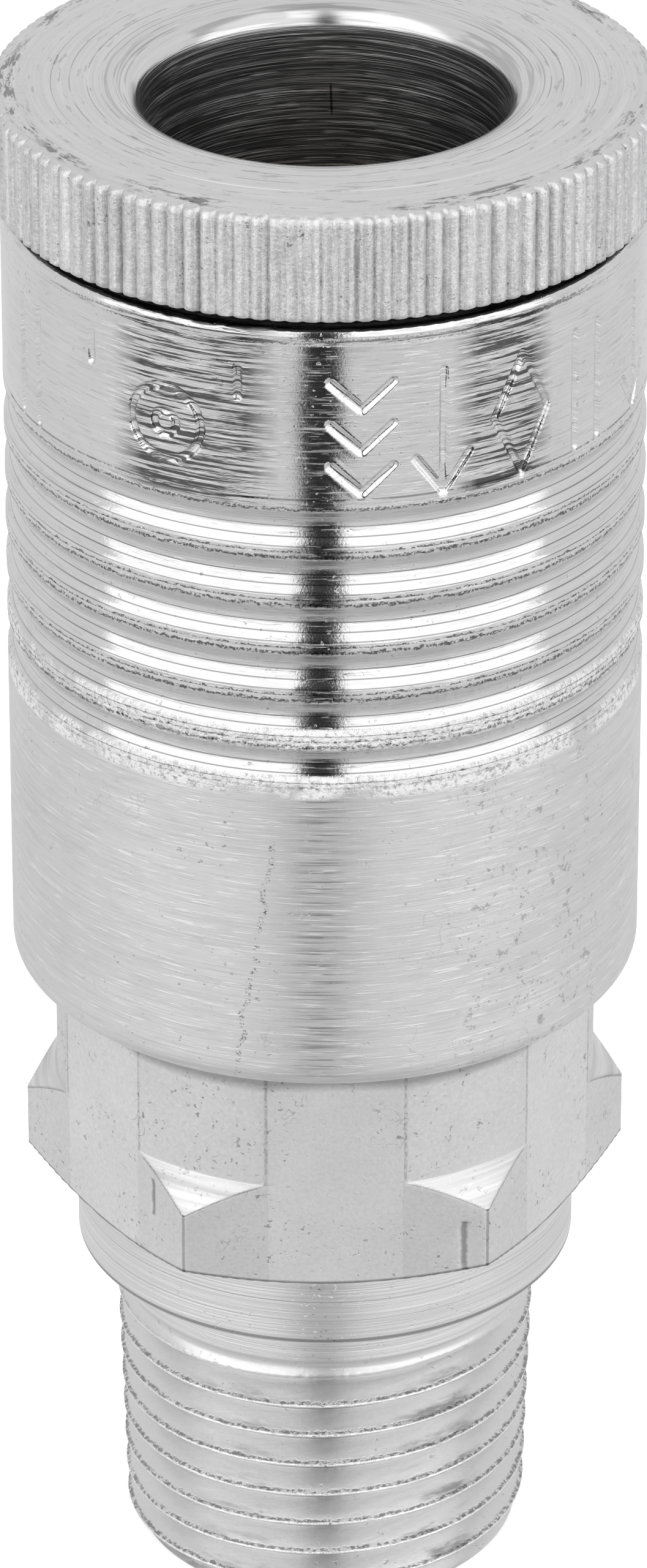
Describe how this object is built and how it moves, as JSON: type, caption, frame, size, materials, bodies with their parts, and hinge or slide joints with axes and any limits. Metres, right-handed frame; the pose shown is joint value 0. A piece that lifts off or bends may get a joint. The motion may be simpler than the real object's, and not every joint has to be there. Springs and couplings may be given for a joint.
{
  "type": "quick disconnect air coupler",
  "caption": "Push-to-connect air coupler with knurled nose ring, grooved sliding release sleeve, wrench hexagon and male taper pipe thread.",
  "frame": {"origin": "centre of the pipe thread's end face, on the axis", "axes": "+Z along the axis, out of the mouth that takes the plug; two hexagon flats face +Y and -Y"},
  "size_m": [0.0326, 0.0326, 0.0813],
  "materials": {
    "zinc_steel_body": "zinc plated, satin, as machined from hexagon bar",
    "zinc_steel_sleeve": "zinc plated, bright turned, fine scratches",
    "zinc_steel_knurl": "zinc plated, straight knurl",
    "zinc_steel_bore": "zinc plated, bored, dark tool marks",
    "washer_steel": "zinc plated, plain",
    "spring_steel": "drawn spring wire",
    "ball_steel": "hardened and polished",
    "valve_brass": "turned brass",
    "seal_rubber": "matte black nitrile rubber",
    "gasket_nylon": "natural nylon"
  },
  "bodies": {
    "core": {"rear_adapter": "zinc_steel_body", "front_barrel": "zinc_steel_bore", "nose_ring": "zinc_steel_knurl", "sleeve_spring": "spring_steel", "barrel_gasket": "gasket_nylon", "plug_seal": "seal_rubber", "valve_seat": "washer_steel", "seat_clip": "spring_steel", "valve_guide": "valve_brass", "valve_spring": "spring_steel"},
    "washer": {"spring_washer": "washer_steel"},
    "sleeve": {"release_sleeve": "zinc_steel_sleeve"},
    "poppet": {"valve_poppet": "valve_brass", "valve_seal": "seal_rubber", "valve_cap": "valve_brass"},
    "ball_1": {"lock_ball_1": "ball_steel"},
    "ball_2": {"lock_ball_2": "ball_steel"},
    "ball_3": {"lock_ball_3": "ball_steel"},
    "ball_4": {"lock_ball_4": "ball_steel"},
    "ball_5": {"lock_ball_5": "ball_steel"},
    "ball_6": {"lock_ball_6": "ball_steel"}
  },
  "joints": [
    {"name": "sleeve_slide", "type": "slide", "parent": "core", "child": "washer", "axis": [0, 0, -1], "range_m": [0, 0.006], "stiffness_N_per_m": 2500, "springref_m": -0.008, "deforming": ["sleeve_spring"]},
    {"name": "sleeve_spin", "type": "hinge", "parent": "washer", "child": "sleeve", "pos_m": [0, 0, 0.06], "axis": [0, 0, 1], "continuous": true},
    {"name": "poppet_slide", "type": "slide", "parent": "core", "child": "poppet", "axis": [0, 0, -1], "range_m": [0, 0.005], "stiffness_N_per_m": 900, "springref_m": -0.006, "deforming": ["valve_spring"]},
    {"name": "ball_1_slide", "type": "slide", "parent": "core", "child": "ball_1", "axis": [1, 0, 0], "range_m": [0, 0.0011]},
    {"name": "ball_2_slide", "type": "slide", "parent": "core", "child": "ball_2", "axis": [0.5, 0.866, 0], "range_m": [0, 0.0011]},
    {"name": "ball_3_slide", "type": "slide", "parent": "core", "child": "ball_3", "axis": [-0.5, 0.866, 0], "range_m": [0, 0.0011]},
    {"name": "ball_4_slide", "type": "slide", "parent": "core", "child": "ball_4", "axis": [-1, 0, 0], "range_m": [0, 0.0011]},
    {"name": "ball_5_slide", "type": "slide", "parent": "core", "child": "ball_5", "axis": [-0.5, -0.866, 0], "range_m": [0, 0.0011]},
    {"name": "ball_6_slide", "type": "slide", "parent": "core", "child": "ball_6", "axis": [0.5, -0.866, 0], "range_m": [0, 0.0011]}
  ],
  "couplings": [
    {"joint": "ball_1_slide", "follows": "sleeve_slide", "ratio": 0.175},
    {"joint": "ball_2_slide", "follows": "sleeve_slide", "ratio": 0.175},
    {"joint": "ball_3_slide", "follows": "sleeve_slide", "ratio": 0.175},
    {"joint": "ball_4_slide", "follows": "sleeve_slide", "ratio": 0.175},
    {"joint": "ball_5_slide", "follows": "sleeve_slide", "ratio": 0.175},
    {"joint": "ball_6_slide", "follows": "sleeve_slide", "ratio": 0.175}
  ]
}
